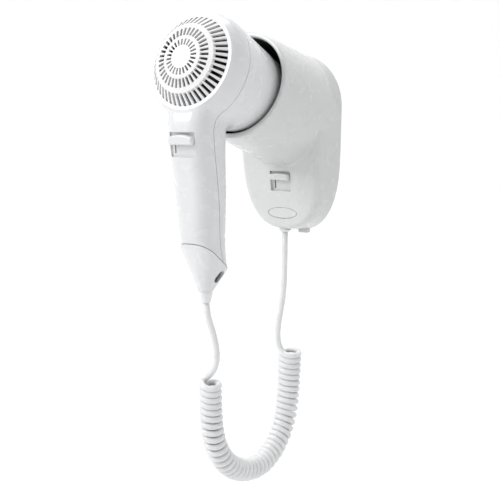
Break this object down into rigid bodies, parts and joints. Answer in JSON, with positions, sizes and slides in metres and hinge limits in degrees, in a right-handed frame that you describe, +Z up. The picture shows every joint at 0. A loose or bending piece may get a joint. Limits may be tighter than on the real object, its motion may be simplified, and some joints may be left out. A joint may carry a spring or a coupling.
{
  "type": "hair dryer",
  "caption": "Wall-mounted hair dryer: a pistol-shaped hand piece with a slotted dome grille rests nozzle-first in the cup of a white wall holder, joined to it by a curly cord.",
  "frame": {"origin": "on the wall, at the centre of the four wall screws of the holder's back plate", "axes": "+Y into the wall, +Z up, +X to the right of someone facing the wall; the dryer and its cup stand out along -Y"},
  "size_m": [0.093, 0.1714, 0.4014],
  "materials": {
    "white_shell": "glossy moulded white ABS",
    "holder_shell": "glossy moulded white ABS, slightly greyer",
    "grille_white": "glossy moulded white ABS",
    "cap_grey": "satin moulded off-white plastic",
    "dark_plastic": "matt black heat-resisting plastic",
    "liner_black": "matt black plastic",
    "steel": "plated steel",
    "motor_steel": "zinc-plated steel",
    "mica": "pressed mica sheet",
    "nichrome": "oxidised resistance wire",
    "cord_white": "satin white cord sheath",
    "terminal_nylon": "natural nylon"
  },
  "bodies": {
    "holder": {"wall_plate": "holder_shell", "front_cover": "holder_shell", "cup_liner": "liner_black", "holder_switch": "dark_plastic", "screw_cap": "holder_shell", "cover_screw": "steel", "terminal_block": "terminal_nylon", "terminal_screws": "steel", "cord_clamp": "terminal_nylon", "cord_gland": "cord_white", "cord_holder_run": "cord_white", "cord_coil": "cord_white"},
    "holder_slider": {"holder_slider": "holder_shell"},
    "dryer": {"rear_shell": "white_shell", "front_shell": "white_shell", "intake_grille": "grille_white", "air_duct": "dark_plastic", "motor_can": "motor_steel", "mica_board_level": "mica", "mica_board_upright": "mica", "heating_rings": "nichrome", "mica_sleeve": "mica", "thermostat": "steel", "thermal_fuse": "terminal_nylon", "outlet_grille": "dark_plastic", "handle_switch": "dark_plastic", "rectifier_diode": "dark_plastic", "housing_screws": "steel", "end_cap": "white_shell", "strain_relief": "cord_white", "cord_dryer_run": "cord_white"},
    "handle_slider": {"handle_slider": "white_shell"},
    "fan_rotor": {"fan_impeller": "dark_plastic", "motor_shaft": "steel"}
  },
  "joints": [
    {"name": "lift_out", "type": "slide", "parent": "holder", "child": "dryer", "axis": [0, -0.9622, 0.2723], "range_m": [0, 0.1]},
    {"name": "holder_switch_slide", "type": "slide", "parent": "holder", "child": "holder_slider", "axis": [0, 0.1236, -0.9923], "range_m": [0, 0.0085]},
    {"name": "handle_switch_slide", "type": "slide", "parent": "dryer", "child": "handle_slider", "axis": [0, 0.1053, -0.9944], "range_m": [0, 0.008]},
    {"name": "fan_spin", "type": "hinge", "parent": "dryer", "child": "fan_rotor", "pos_m": [0, -0.156, 0.065], "axis": [0, 0.9622, -0.2723], "continuous": true}
  ]
}
